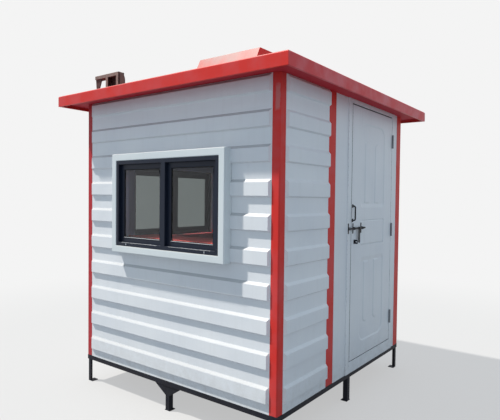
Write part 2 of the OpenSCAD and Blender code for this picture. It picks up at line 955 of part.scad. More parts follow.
// Welded steel bracket: a top bar on two uprights, with a tapered leg, a bay and a round cheek set back
module roof_bracket() {
  under_bar = bracket_h - bracket_bar_h;
  bay_w = bracket_cheek_x - bracket_upright_x;
  leg_x = bracket_leg_foot / 2;
  set_back = 2 * bracket_t;
  color("saddlebrown")
    translate([-bracket_x - bracket_l / 2, -wall_d / 2 - bracket_out, roof_top]) {
      translate([0, 0, under_bar])
        cube([bracket_cheek_x + bracket_upright_w, bracket_d, bracket_bar_h]);
      translate([0, set_back, 0]) rotate([90, 0, 0])
        linear_extrude(bracket_t)
          polygon([[leg_x, 0], [leg_x + bracket_leg_foot, 0], [bracket_leg_top, under_bar],
            [0, under_bar]]);
      for (x = [bracket_upright_x, bracket_cheek_x])
        translate([x, 0, 0]) cube([bracket_upright_w, bracket_t, under_bar]);
      translate([bracket_upright_x, bracket_d - bracket_t, 0])
        cube([bay_w + bracket_upright_w, bracket_t, under_bar]);
      translate([bracket_upright_x, 0, 0]) cube([bay_w, bracket_d, bracket_t]);
      translate([bracket_upright_x, 0, 0]) cube([bracket_t, bracket_d, under_bar]);
      translate([bracket_l, set_back, bracket_h]) rotate([90, 0, 0])
        linear_extrude(bracket_t)
          rotate(180) round_corner(bracket_l - bracket_cheek_x, bracket_h, bracket_cheek_r);
    }
}

base_frame();
corner_legs();
middle_legs();
floor_panel();
post_front_left();
post_front_right();
post_back_right();
post_back_left();
door_side_post();
front_wall();
left_wall();
back_wall();
door_wall();
front_cladding();
left_cladding();
back_cladding();
door_side_cladding();
front_window_casing();
front_window_frame();
front_window_sashes();
front_window_glass();
left_window_casing();
left_window_frame();
left_window_sashes();
left_window_glass();
window_counter();
door_jambs();
door_head();
door_sill();
frame_hinges();
bolt_keeper();
roof_panel();
ceiling_panel();
fascia_front();
fascia_right();
fascia_back();
fascia_left();
roof_cowl();
roof_bracket();
door_leaf();
door_hinges();
door_handle();
bolt_fittings();
bolt_rod();
hasp();
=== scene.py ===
import json
import math

import bmesh
import bpy
from mathutils import Matrix, Vector

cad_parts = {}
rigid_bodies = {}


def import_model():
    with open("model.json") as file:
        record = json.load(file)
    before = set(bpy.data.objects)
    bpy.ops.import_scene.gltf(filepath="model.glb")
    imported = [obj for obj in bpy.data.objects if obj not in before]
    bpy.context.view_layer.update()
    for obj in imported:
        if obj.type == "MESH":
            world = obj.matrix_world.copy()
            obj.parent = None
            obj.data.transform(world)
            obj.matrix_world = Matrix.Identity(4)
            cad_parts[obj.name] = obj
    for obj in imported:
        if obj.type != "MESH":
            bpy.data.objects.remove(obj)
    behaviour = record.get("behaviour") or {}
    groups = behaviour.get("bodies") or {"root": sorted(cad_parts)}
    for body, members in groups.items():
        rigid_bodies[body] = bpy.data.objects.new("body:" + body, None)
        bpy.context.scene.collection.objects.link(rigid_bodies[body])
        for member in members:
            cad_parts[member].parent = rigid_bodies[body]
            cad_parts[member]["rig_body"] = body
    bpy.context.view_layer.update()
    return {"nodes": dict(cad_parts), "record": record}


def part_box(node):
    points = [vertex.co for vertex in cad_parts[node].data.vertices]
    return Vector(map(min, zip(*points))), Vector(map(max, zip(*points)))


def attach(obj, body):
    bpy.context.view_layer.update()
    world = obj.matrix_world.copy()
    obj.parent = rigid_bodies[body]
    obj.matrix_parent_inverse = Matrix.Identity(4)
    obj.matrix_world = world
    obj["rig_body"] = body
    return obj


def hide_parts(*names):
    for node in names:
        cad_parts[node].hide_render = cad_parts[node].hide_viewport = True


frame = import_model()
scene = bpy.context.scene
scene.view_settings.view_transform = "Standard"
print("frame loaded:", len(frame["nodes"]), "nodes")

# Camera, fitted to the booth's straight edges
view = {
    "place": (2.8745, -3.595, 1.686),  # metres
    "azimuth": 35.49,                  # degrees round the booth from its front
    "elevation": 1.57,                 # degrees that it looks down
    "roll": 0.72,                      # degrees
    "focal": 479.3,                    # pixels
    "centre": (277.9, 212.1),          # where the lens axis meets the image, pixels
    "image": (500, 420),
    "sensor": 36.0,                    # millimetres
}


def addCamera():
    lens = bpy.data.cameras.new("photoCamera")
    camera = bpy.data.objects.new("photoCamera", lens)
    scene.collection.objects.link(camera)
    width, height = view["image"]
    lens.sensor_width = view["sensor"]
    lens.lens = view["focal"] * view["sensor"] / width
    lens.shift_x = (width / 2 - view["centre"][0]) / width
    lens.shift_y = (view["centre"][1] - height / 2) / width
    turn, tip, roll = (math.radians(view[key]) for key in ("azimuth", "elevation", "roll"))
    back = Vector((math.sin(turn) * math.cos(tip), -math.cos(turn) * math.cos(tip), math.sin(tip)))
    level = Vector((math.cos(turn), math.sin(turn), 0))
    up = back.cross(level)
    right = level * math.cos(roll) + up * math.sin(roll)
    above = up * math.cos(roll) - level * math.sin(roll)
    turned = Matrix((right, above, back)).transposed().to_4x4()
    camera.matrix_world = Matrix.Translation(view["place"]) @ turned
    scene.camera = camera


addCamera()


def hexColour(code):
    parts = [int(code[i:i + 2], 16) / 255 for i in (1, 3, 5)]
    linear = [p / 12.92 if p <= 0.04045 else ((p + 0.055) / 1.055) ** 2.4 for p in parts]
    return (*linear, 1.0)


def perMm(size):
    return 1000 / size  # pattern scale that gives features of this size


# Adds a node; a key is one of its settings or, failing that, one of its inputs
def addNode(tree, kind, values=None, links=None):
    node = tree.nodes.new("ShaderNode" + kind)
    for key, value in (values or {}).items():
        if isinstance(key, str) and hasattr(node, key):
            setattr(node, key, value)
        else:
            node.inputs[key].default_value = value
    for key, socket in (links or {}).items():
        tree.links.new(socket, node.inputs[key])
    return node


def startMaterial(name):
    material = bpy.data.materials.new(name)
    material.use_nodes = True
    tree = material.node_tree
    return material, tree, tree.nodes["Principled BSDF"], addNode(tree, "TexCoord")


mixFactor, mixA, mixB, mixOut = 0, 6, 7, 2  # sockets of a colour Mix node


# True for rays that the eye follows, straight, mirrored or through glass
def seenRay(tree):
    path = addNode(tree, "LightPath")
    either = addNode(tree, "Math", {"operation": "MAXIMUM"},
                     {0: path.outputs["Is Camera Ray"], 1: path.outputs["Is Glossy Ray"]})
    anyOf = addNode(tree, "Math", {"operation": "MAXIMUM"},
                    {0: either.outputs[0], 1: path.outputs["Is Transmission Ray"]})
    return anyOf.outputs[0]


# Light: a soft key from the upper left, a plain sky all round, a pale floor
light = {
    "towards": (-0.472, -0.236, 0.849),
    "key": 4.8,
    "keyAngle": 1.6,       # degrees, soft edged shadows
    "keyColour": "#FFFAF2",
    "sky": 0.66,
    "skyColour": "#D4E6F6",
    "backdrop": "#F4F4F4",
}


def lightScene():
    lamp = bpy.data.lights.new("key", "SUN")
    lamp.energy = light["key"]
    lamp.angle = math.radians(light["keyAngle"])
    lamp.color = hexColour(light["keyColour"])[:3]
    key = bpy.data.objects.new("key", lamp)
    key.rotation_euler = Vector(light["towards"]).to_track_quat("Z", "Y").to_euler()
    scene.collection.objects.link(key)
    world = bpy.data.worlds.new("studio")
    scene.world = world
    world.use_nodes = True
    tree = world.node_tree
    sky = tree.nodes["Background"]
    sky.inputs["Color"].default_value = hexColour(light["skyColour"])
    sky.inputs["Strength"].default_value = light["sky"]
    paper = addNode(tree, "Background", {"Color": hexColour(light["backdrop"]), "Strength": 1.0})
    mix = addNode(tree, "MixShader", None, {0: seenRay(tree), 1: sky.outputs[0], 2: paper.outputs[0]})
    tree.links.new(mix.outputs[0], tree.nodes["World Output"].inputs["Surface"])


lightScene()

floor = {
    "radius": 16.0,        # metres
    "segments": 96,
    "pale": "#B2B2B2",     # as the eye sees it
    "bounce": "#6C6F74",   # as the booth sees it, so that little light comes back up
    "rough": 0.9,
    "specular": 0.1,
    "glow": 0.55,          # share of plain backdrop, so that the shadow stays light
    "fade": (3.2, 7.0),    # metres over which the floor turns into the backdrop
}


def layFloor():
    bm = bmesh.new()
    bmesh.ops.create_circle(bm, cap_ends=True, radius=floor["radius"], segments=floor["segments"])
    mesh = bpy.data.meshes.new("floor")
    bm.to_mesh(mesh)
    bm.free()
    ground = bpy.data.objects.new("floor", mesh)
    scene.collection.objects.link(ground)
    material, tree, shader, coord = startMaterial("matt paper floor")
    tint = addNode(tree, "Mix", {"data_type": "RGBA", mixA: hexColour(floor["bounce"]),
                                 mixB: hexColour(floor["pale"])}, {mixFactor: seenRay(tree)})
    tree.links.new(tint.outputs[mixOut], shader.inputs["Base Color"])
    shader.inputs["Roughness"].default_value = floor["rough"]
    shader.inputs["Specular IOR Level"].default_value = floor["specular"]
    away = addNode(tree, "VectorMath", {"operation": "LENGTH"}, {0: coord.outputs["Object"]})
    near, far = floor["fade"]
    plain = addNode(tree, "MapRange", {"interpolation_type": "SMOOTHSTEP", "From Min": near, "From Max": far,
                                       "To Min": floor["glow"], "To Max": 1.0},
                    {"Value": away.outputs["Value"]})
    share = addNode(tree, "Math", {"operation": "MULTIPLY"}, {0: plain.outputs[0], 1: seenRay(tree)})
    glow = addNode(tree, "Emission", {"Color": hexColour(light["backdrop"]), "Strength": 1.0})
    mix = addNode(tree, "MixShader", None, {0: share.outputs[0], 1: shader.outputs[0], 2: glow.outputs[0]})
    tree.links.new(mix.outputs[0], tree.nodes["Material Output"].inputs["Surface"])
    mesh.materials.append(material)


layFloor()
print("camera, light and floor set")

# What every enamel shares: first the stretches of a noise over which each kind of wear comes in
enamelFilm = {
    "patches": {"From Min": 0.38, "From Max": 0.66},
    "uneven": {"From Min": 0.35, "From Max": 0.65},
    "streaks": {"From Min": 0.5, "From Max": 0.78},
    "spots": {"From Min": 0.35, "From Max": 0.7},
    "chips": {"From Min": 0.56, "From Max": 0.6},
    # rubbed: the stretch over which a pale mark's edge fades out
    "rubbed": {"From Min": 1.3, "From Max": 1.6},  # dirt added to the share of a scuff's reach
    "rain": {"Scale": 1.0, "Detail": 4.0, "Roughness": 0.6},
    "dirt": {"Scale": perMm(55), "Detail": 5.0, "Roughness": 0.7},
    "buckle": {"Scale": perMm(260), "Detail": 1.0},
    "buckleDepth": 0.006,                          # metres
    "peel": {"Scale": perMm(7), "Detail": 2.0},    # drawn coarse enough to show
    "peelRelief": {"Strength": 0.12, "Distance": 0.0006},
    "splashFoot": 0.22,                            # metres above the ground, just under the walls
    "streakDull": 0.35,                            # roughness that dirt adds
    "splashDull": 0.25,
}


# Faces that look at the key lamp bleach. This is partly real and partly painted light: painted shade on pale
# paint and the roof top, and a painted highlight on red folds and the cowl
def bleachAndPaintedLightMask(tree, coord, broad, look):
    sunwards = Vector(light["towards"]).normalized()
    sunny = addNode(tree, "VectorMath", {"operation": "DOT_PRODUCT", 1: sunwards},
                    {0: coord.outputs["Normal"]})
    shaded, sunlit = look["sun"]
    sunFacing = addNode(tree, "MapRange", {"From Min": shaded, "From Max": sunlit, "To Max": look["bleachAndLightShare"]},
                     {"Value": sunny.outputs["Value"]})
    uneven = addNode(tree, "MapRange", {**enamelFilm["uneven"], "To Min": look["evenness"]},
                     {"Value": broad.outputs["Fac"]})
    return addNode(tree, "Math", {"operation": "MULTIPLY"}, {0: sunFacing.outputs[0], 1: uneven.outputs[0]})


# Rain streaks that run down the face
def streakMask(tree, place, look):
    wide, tall = perMm(look["streakWide"]), perMm(look["streakLong"])
    drawn = addNode(tree, "Mapping", {"Scale": (wide, wide, tall)}, {"Vector": place})
    rain = addNode(tree, "TexNoise", enamelFilm["rain"], {"Vector": drawn.outputs[0]})
    return addNode(tree, "MapRange", {**enamelFilm["streaks"], "To Max": look["streak"]},
                   {"Value": rain.outputs["Fac"]})


# Dirt splashed up from the ground
def splashMask(tree, place, dirt, look):
    height = addNode(tree, "SeparateXYZ", None, {0: place})
    foot = enamelFilm["splashFoot"]
    low = addNode(tree, "MapRange", {"From Min": foot, "From Max": foot + look["splashTop"],
                                     "To Min": look["splash"], "To Max": 0.0}, {"Value": height.outputs["Z"]})
    spots = addNode(tree, "MapRange", enamelFilm["spots"], {"Value": dirt.outputs["Fac"]})
    return addNode(tree, "Math", {"operation": "MULTIPLY"}, {0: low.outputs[0], 1: spots.outputs[0]})


# A paler patch with a ragged edge
def paleMarkMask(tree, place, dirt, mark):
    offset = addNode(tree, "VectorMath", {"operation": "SUBTRACT", 1: mark["at"]}, {0: place})
    apart = addNode(tree, "VectorMath", {"operation": "DIVIDE", 1: mark["reach"]}, {0: offset.outputs[0]})
    sides = addNode(tree, "VectorMath", {"operation": "ABSOLUTE"}, {0: apart.outputs[0]})
    away = addNode(tree, "SeparateXYZ", None, {0: sides.outputs[0]})
    flat = addNode(tree, "Math", {"operation": "MAXIMUM"}, {0: away.outputs["X"], 1: away.outputs["Y"]})
    most = addNode(tree, "Math", {"operation": "MAXIMUM"}, {0: flat.outputs[0], 1: away.outputs["Z"]})
    ragged = addNode(tree, "Math", {"operation": "ADD"}, {0: most.outputs[0], 1: dirt.outputs["Fac"]})
    return addNode(tree, "MapRange", {**enamelFilm["rubbed"], "To Min": mark["share"], "To Max": 0.0},
                   {"Value": ragged.outputs[0]})


# Chips along the folds that were rounded
def chipMask(tree, place, look):
    edge = addNode(tree, "Attribute", {"attribute_name": "wear"})
    grit = addNode(tree, "TexNoise", {"Scale": perMm(look["chipSize"]), "Detail": 4.0}, {"Vector": place})
    bare = addNode(tree, "MapRange", {**enamelFilm["chips"], "To Max": look["chips"]},
                   {"Value": grit.outputs["Fac"]})
    return addNode(tree, "Math", {"operation": "MULTIPLY"}, {0: edge.outputs["Fac"], 1: bare.outputs[0]})


# Sprayed enamel on steel: an even film that bleaches where the key lamp meets it, partly painted light,
# with rain streaks, splashed dirt low down and chipped folds
def enamel(name, look):
    material, tree, shader, coord = startMaterial(name)
    place = coord.outputs["Object"]
    broad = addNode(tree, "TexNoise", {"Scale": perMm(look["mottle"]), "Detail": 3.0}, {"Vector": place})
    dirt = addNode(tree, "TexNoise", enamelFilm["dirt"], {"Vector": place})
    patches = addNode(tree, "MapRange", {**enamelFilm["patches"], "To Max": look["fade"]},
                      {"Value": broad.outputs["Fac"]})
    streaks = streakMask(tree, place, look)
    splash = splashMask(tree, place, dirt, look)
    layers = [
        (bleachAndPaintedLightMask(tree, coord, broad, look), look["bleachAndPaintedLight"]),
        (streaks, look["dust"]),
        (splash, look["mud"]),
        *((paleMarkMask(tree, place, dirt, mark), mark["colour"]) for mark in look.get("paleMarks", ())),
        (chipMask(tree, place, look), look["primer"]),
    ]
    colour = addNode(tree, "Mix", {"data_type": "RGBA", mixA: hexColour(look["paint"]),
                                   mixB: hexColour(look["faded"])}, {mixFactor: patches.outputs[0]})
    for mask, code in layers:
        colour = addNode(tree, "Mix", {"data_type": "RGBA", mixB: hexColour(code)},
                         {mixFactor: mask.outputs[0], mixA: colour.outputs[mixOut]})
    tree.links.new(colour.outputs[mixOut], shader.inputs["Base Color"])
    dull = addNode(tree, "Math", {"operation": "MULTIPLY_ADD", 1: enamelFilm["streakDull"], 2: look["rough"]},
                   {0: streaks.outputs[0]})
    matt = addNode(tree, "Math", {"operation": "MULTIPLY_ADD", 1: enamelFilm["splashDull"]},
                   {0: splash.outputs[0], 2: dull.outputs[0]})
    tree.links.new(matt.outputs[0], shader.inputs["Roughness"])
    shader.inputs["Specular IOR Level"].default_value = look["specular"]
    # Sheet that isn't quite flat, under a fine orange peel
    wavy = addNode(tree, "TexNoise", enamelFilm["buckle"], {"Vector": place})
    sheet = addNode(tree, "Bump", {"Strength": look["wave"], "Distance": enamelFilm["buckleDepth"]},
                    {"Height": wavy.outputs["Fac"]})
    peel = addNode(tree, "TexNoise", enamelFilm["peel"], {"Vector": place})
    relief = addNode(tree, "Bump", enamelFilm["peelRelief"],
                     {"Height": peel.outputs["Fac"], "Normal": sheet.outputs["Normal"]})
    tree.links.new(relief.outputs["Normal"], shader.inputs["Normal"])
    return material


# Sizes of a pattern are millimetres, and splashTop and a pale mark's place and reach are metres. sun
# gives the cosines over which a face that turns to the key lamp bleaches, partly as painted shade or painted
# highlight
whitePaint = {
    "paint": "#F2F5F8", "faded": "#EAEEF3", "bleachAndPaintedLight": "#BCBFC2", "dust": "#C4C2BC", "mud": "#A89D8D",
    "primer": "#8E8A86", "mottle": 480, "fade": 0.8, "sun": (0.36, 0.75), "bleachAndLightShare": 1.0, "evenness": 0.9,
    "streakWide": 42, "streakLong": 1100, "streak": 0.09, "splash": 0.3, "splashTop": 0.3,
    "chipSize": 14, "chips": 0.4, "rough": 0.4, "wave": 0.4, "specular": 0.4,
}
casingPaint = {
    **whitePaint, "paint": "#E6EDEF", "faded": "#DEE7EA", "bleachAndPaintedLight": "#BEC0C0", "wave": 0.15, "chips": 0.0,
}
redPaint = {
    "paint": "#E03832", "faded": "#DC5254", "bleachAndPaintedLight": "#B4827C", "dust": "#B0605A", "mud": "#8A4A40",
    "primer": "#7A4038", "mottle": 160, "fade": 0.6, "sun": (0.5, 0.8), "bleachAndLightShare": 0.9, "evenness": 0.6,
    "streakWide": 30, "streakLong": 500, "streak": 0.12, "splash": 0.3, "splashTop": 0.25,
    "chipSize": 22, "chips": 0.5, "rough": 0.45, "wave": 0.25, "specular": 0.18,
    # A paler patch near the top of the near post
    "paleMarks": [
        {"at": (1.045, -1.045, 2.352), "reach": (0.018, 0.03, 0.08), "share": 0.4, "colour": "#C0A09E"},
    ],
}
# The cowl bleaches further where the key lamp meets it, to a pale pink that is partly bleaching and partly a
# painted highlight
cowlBleachAndHighlightPaint = {**redPaint, "bleachAndPaintedLight": "#B8948E", "sun": (0.3, 0.6), "bleachAndLightShare": 1.0}
eavesPaint = {
    **redPaint, "paint": "#CA3440", "faded": "#C44854", "bleachAndPaintedLight": "#9A4E48", "mottle": 420,
    "rough": 0.6, "specular": 0.1,
}
# The right fascia, which faces away from the key lamp, takes a paler pink: a painted reflection of the sky's
# sheen
fasciaSkySheenPaint = {**redPaint, "paint": "#DE4C50", "faded": "#E2787E", "fade": 0.9}
# The front left post takes a darker red than the other posts: painted shade
leftPostShadePaint = {**redPaint, "paint": "#BE3038", "faded": "#B4484E"}
blackPaint = {
    "paint": "#10131E", "faded": "#1A1D29", "bleachAndPaintedLight": "#4C4D56", "dust": "#2C2D38", "mud": "#4A4847",
    "primer": "#6B4A38", "mottle": 120, "fade": 0.9, "sun": (0.5, 0.85), "bleachAndLightShare": 0.8, "evenness": 0.7,
    "streakWide": 24, "streakLong": 160, "streak": 0.2, "splash": 0.25, "splashTop": 0.1,
    "chipSize": 18, "chips": 0.5, "rough": 0.5, "wave": 0.2, "specular": 0.15,
}

# What powder coat, lacquer, rubber and nylon share
bloom = {
    "ledge": {"From Min": 0.3, "From Max": 0.9},   # how far a face looks up
    "loose": {"From Min": 0.35, "From Max": 0.7},  # stretch of the grain over which dust comes in
    "grain": {"Scale": perMm(30), "Detail": 5.0, "Roughness": 0.65},
    "pebble": {"Scale": perMm(5), "Detail": 1.0},  # drawn coarse enough to show
    "relief": {"Strength": 0.15, "Distance": 0.0004},
    "dull": 0.5,                                   # roughness that dust adds
}


# Powder coated aluminium: even satin black with a dusty bloom on its ledges; the other smooth skins
# differ in colour and shine
def powderCoat(name, look):
    material, tree, shader, coord = startMaterial(name)
    place = coord.outputs["Object"]
    normal = addNode(tree, "SeparateXYZ", None, {0: coord.outputs["Normal"]})
    ledge = addNode(tree, "MapRange", {**bloom["ledge"], "To Min": look["film"], "To Max": look["ledge"]},
                    {"Value": normal.outputs["Z"]})
    grain = addNode(tree, "TexNoise", bloom["grain"], {"Vector": place})
    loose = addNode(tree, "MapRange", bloom["loose"], {"Value": grain.outputs["Fac"]})
    dusty = addNode(tree, "Math", {"operation": "MULTIPLY"}, {0: ledge.outputs[0], 1: loose.outputs[0]})
    colour = addNode(tree, "Mix", {"data_type": "RGBA", mixA: hexColour(look["coat"]),
                                   mixB: hexColour(look["dust"])}, {mixFactor: dusty.outputs[0]})
    tree.links.new(colour.outputs[mixOut], shader.inputs["Base Color"])
    rough = addNode(tree, "Math", {"operation": "MULTIPLY_ADD", 1: bloom["dull"], 2: look["rough"]},
                    {0: dusty.outputs[0]})
    tree.links.new(rough.outputs[0], shader.inputs["Roughness"])
    shader.inputs["Specular IOR Level"].default_value = look["specular"]
    pebble = addNode(tree, "TexNoise", bloom["pebble"], {"Vector": place})
    bump = addNode(tree, "Bump", bloom["relief"], {"Height": pebble.outputs["Fac"]})
    tree.links.new(bump.outputs["Normal"], shader.inputs["Normal"])
    return material


blackCoat = {
    "coat": "#1C2434", "dust": "#4C525E", "film": 0.05, "ledge": 0.5, "rough": 0.34, "specular": 0.2,
}
blackLacquer = {
    "coat": "#0C0E17", "dust": "#3A3A40", "film": 0.04, "ledge": 0.4, "rough": 0.42, "specular": 0.2,
}
blackRubber = {
    "coat": "#121315", "dust": "#3A3B3D", "film": 0.2, "ledge": 0.5, "rough": 0.7, "specular": 0.2,
}
paleNylon = {
    "coat": "#C9CED4", "dust": "#A8A9A8", "film": 0.2, "ledge": 0.5, "rough": 0.5, "specular": 0.4,
}

# What every pane shares
paneDust = {
    "smear": {"Scale": perMm(140), "Detail": 4.0},
    "spread": {"From Min": 0.45, "From Max": 0.75},  # stretch of the smear over which the film comes in
}


# Smoked float glass: see-through, with a cool or grey green tint and a faint film of dust; lamps
# shine through it
def smokedGlass(name, look):
    material, tree, shader, coord = startMaterial(name)
    shader.inputs["Base Color"].default_value = hexColour(look["tint"])
    shader.inputs["Transmission Weight"].default_value = 1.0
    shader.inputs["IOR"].default_value = look["ior"]
    smear = addNode(tree, "TexNoise", paneDust["smear"], {"Vector": coord.outputs["Object"]})
    film = addNode(tree, "MapRange", {**paneDust["spread"], "To Min": look["haze"], "To Max": look["film"]},
                   {"Value": smear.outputs["Fac"]})
    tree.links.new(film.outputs[0], shader.inputs["Roughness"])
    path = addNode(tree, "LightPath")
    halfWay = [part ** 0.5 for part in hexColour(look["lampTint"])]  # a lamp's ray meets both faces of a pane
    through = addNode(tree, "BsdfTransparent", {"Color": halfWay})
    mix = addNode(tree, "MixShader", None,
                  {0: path.outputs["Is Shadow Ray"], 1: shader.outputs[0], 2: through.outputs[0]})
    tree.links.new(mix.outputs[0], tree.nodes["Material Output"].inputs["Surface"])
    return material


# The IOR is low, so that the bright sky hardly shows in the panes
paneGlass = {"tint": "#DFE6EE", "lampTint": "#EEF1F1", "haze": 0.0, "film": 0.05, "ior": 1.3}
# The left window's pane has a darker tint than the front pane: painted shade beyond it
sideShadeGlass = {**paneGlass, "tint": "#787C76", "haze": 0.09, "film": 0.14}

# What every board shares
boardGrain = {
    "mottle": {"Scale": perMm(220), "Detail": 5.0, "Roughness": 0.6},
    "fibre": {"Scale": perMm(9), "Detail": 3.0},  # drawn coarse enough to show
    "relief": {"Strength": 0.2, "Distance": 0.001},
}


# Lining board: matt sheet, faintly mottled; a wall's board is painted red up to the windows
def liningBoard(name, look):
    material, tree, shader, coord = startMaterial(name)
    place = coord.outputs["Object"]
    mottle = addNode(tree, "TexNoise", boardGrain["mottle"], {"Vector": place})
    colour = addNode(tree, "Mix", {"data_type": "RGBA", mixA: hexColour(look["board"]),
                                   mixB: hexColour(look["mark"])}, {mixFactor: mottle.outputs["Fac"]})
    if "dado" in look:
        height = addNode(tree, "SeparateXYZ", None, {0: place})
        lower = addNode(tree, "Math", {"operation": "LESS_THAN", 1: look["dadoTop"]},
                        {0: height.outputs["Z"]})
        colour = addNode(tree, "Mix", {"data_type": "RGBA", mixB: hexColour(look["dado"])},
                         {mixFactor: lower.outputs[0], mixA: colour.outputs[mixOut]})
    tree.links.new(colour.outputs[mixOut], shader.inputs["Base Color"])
    shader.inputs["Roughness"].default_value = look["rough"]
    shader.inputs["Specular IOR Level"].default_value = look["specular"]
    fibre = addNode(tree, "TexNoise", boardGrain["fibre"], {"Vector": place})
    bump = addNode(tree, "Bump", boardGrain["relief"], {"Height": fibre.outputs["Fac"]})
    tree.links.new(bump.outputs["Normal"], shader.inputs["Normal"])
    return material


greyLining = {
    "board": "#A2ACCC", "mark": "#929CBC", "rough": 0.7, "specular": 0.1,
    "dado": "#DC5C60", "dadoTop": 1.318,  # metres above the ground
}
vinylFloor = {"board": "#6B6A6C", "mark": "#575658", "rough": 0.55, "specular": 0.3}
redLaminate = {"board": "#EC6A62", "mark": "#E25C56", "rough": 0.7, "specular": 0.02}

# What every bare metal shares
scaleGrain = {
    "scale": {"Detail": 8.0, "Roughness": 0.7},
    "patch": {"From Min": 0.38, "From Max": 0.62},
    "wornAndLitAbove": {"From Min": 0.2, "From Max": 0.9, "To Max": 0.75},  # how far a face looks up
    "rubbed": {"Scale": perMm(60), "Detail": 4.0},
    "roughest": 0.92,
    "relief": {"Strength": 0.5, "Distance": 0.0015},
}


# Mild steel left to rust: brown scale in patches over grey metal, paler on faces that look up, partly
# wear and partly painted light from above; greyer colours make it oxidised steel or aluminium as it left the
# mill
def rustedSteel(name, look):
    material, tree, shader, coord = startMaterial(name)
    place = coord.outputs["Object"]
    scale = addNode(tree, "TexNoise", {**scaleGrain["scale"], "Scale": perMm(look["scale"])},
                    {"Vector": place})
    patch = addNode(tree, "MapRange", scaleGrain["patch"], {"Value": scale.outputs["Fac"]})
    rust = addNode(tree, "Mix", {"data_type": "RGBA", mixA: hexColour(look["dark"]),
                                 mixB: hexColour(look["rust"])}, {mixFactor: patch.outputs[0]})
    # Faces that look up turn to the paler metal: partly wear, partly painted light from above
    normal = addNode(tree, "SeparateXYZ", None, {0: coord.outputs["Normal"]})
    wornAndLitAbove = addNode(tree, "MapRange", {**scaleGrain["wornAndLitAbove"], "To Min": look["bare"]},
                   {"Value": normal.outputs["Z"]})
    rubbed = addNode(tree, "TexNoise", scaleGrain["rubbed"], {"Vector": place})
    bare = addNode(tree, "Math", {"operation": "MULTIPLY"}, {0: wornAndLitAbove.outputs[0], 1: rubbed.outputs["Fac"]})
    colour = addNode(tree, "Mix", {"data_type": "RGBA", mixB: hexColour(look["metal"])},
                     {mixFactor: bare.outputs[0], mixA: rust.outputs[mixOut]})
    # Faces behind the front bars take a darker colour: painted shade in the bracket's recesses
    if "behind" in look:
        depth = addNode(tree, "SeparateXYZ", None, {0: place})
        inner = addNode(tree, "Math", {"operation": "GREATER_THAN", 1: look["behind"]},
                        {0: depth.outputs["Y"]})
        colour = addNode(tree, "Mix", {"data_type": "RGBA", mixB: hexColour(look["paintedShade"])},
                         {mixFactor: inner.outputs[0], mixA: colour.outputs[mixOut]})
    tree.links.new(colour.outputs[mixOut], shader.inputs["Base Color"])
    shader.inputs["Metallic"].default_value = look["metallic"]
    rough = addNode(tree, "MapRange", {"To Min": look["rough"], "To Max": scaleGrain["roughest"]},
                    {"Value": scale.outputs["Fac"]})
    tree.links.new(rough.outputs[0], shader.inputs["Roughness"])
    bump = addNode(tree, "Bump", scaleGrain["relief"], {"Height": scale.outputs["Fac"]})
    tree.links.new(bump.outputs["Normal"], shader.inputs["Normal"])
    return material


bracketBars = 0.004  # metres of the bracket's depth that its front bars take
bracketSteel = {
    "dark": "#604640", "rust": "#8E6C62", "metal": "#BBA8A1", "bare": 0.45, "scale": 26,
    "metallic": 0.1, "rough": 0.6,
    # the plates behind the front bars get the darker colour, which is painted shade
    "behind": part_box("roof_bracket")[0].y + bracketBars, "paintedShade": "#4A2C2A",  # the plates behind them
}
hingeSteel = {
    "dark": "#747880", "rust": "#80838A", "metal": "#989A9E", "bare": 0.5, "scale": 18,
    "metallic": 0.3, "rough": 0.45,
}
# Pale bare aluminium for the strips that paint glints along the windows' lower edges
glintAluminiumLook = {
    "dark": "#C4C7CC", "rust": "#D2D4D8", "metal": "#E4E6E8", "bare": 0.5, "scale": 40,
    "metallic": 0.3, "rough": 0.35,
}

materials = {
    "white_paint": enamel("white enamel on pressed steel", whitePaint),
    "red_paint": enamel("red enamel on steel", redPaint),
    "black_steel": enamel("black paint on mild steel", blackPaint),
    "lining_board": liningBoard("grey lining board", greyLining),
    "floor_board": liningBoard("grey vinyl on cement board", vinylFloor),
    "black_aluminium": powderCoat("black powder coated aluminium", blackCoat),
    "window_glass": smokedGlass("smoked float glass", paneGlass),
    "hinge_steel": rustedSteel("oxidised hinge steel", hingeSteel),
    "black_hardware": powderCoat("black lacquered iron", blackLacquer),
    "rusty_steel": rustedSteel("rusted mild steel", bracketSteel),
}
casingFinish = enamel("white enamel on folded casing", casingPaint)
ownFinish = {
    "window_counter": liningBoard("red laminate", redLaminate),
    "roof_cowl": enamel("sun bleached red enamel with painted highlight", cowlBleachAndHighlightPaint),
    "fascia_right": enamel("red enamel with painted sky sheen", fasciaSkySheenPaint),
    "post_front_left": enamel("red enamel with painted shade", leftPostShadePaint),
    "roof_panel": enamel("matt red enamel under the eaves", eavesPaint),
    "front_window_casing": casingFinish,
    "left_window_casing": casingFinish,
    "left_window_glass": smokedGlass("smoked float glass with painted shade", sideShadeGlass),
}
rubber = powderCoat("black extruded rubber", blackRubber)
nylon = powderCoat("pale moulded nylon", paleNylon)
glintAluminium = rustedSteel("bare aluminium for painted glints", glintAluminiumLook)
slotOf = {row["node"]: row["material_slot"] for row in frame["record"]["subparts"]}
for name, node in frame["nodes"].items():
    node.data.materials.clear()
    node.data.materials.append(ownFinish.get(name, materials[slotOf[name]]))
print("materials made:", len(bpy.data.materials))

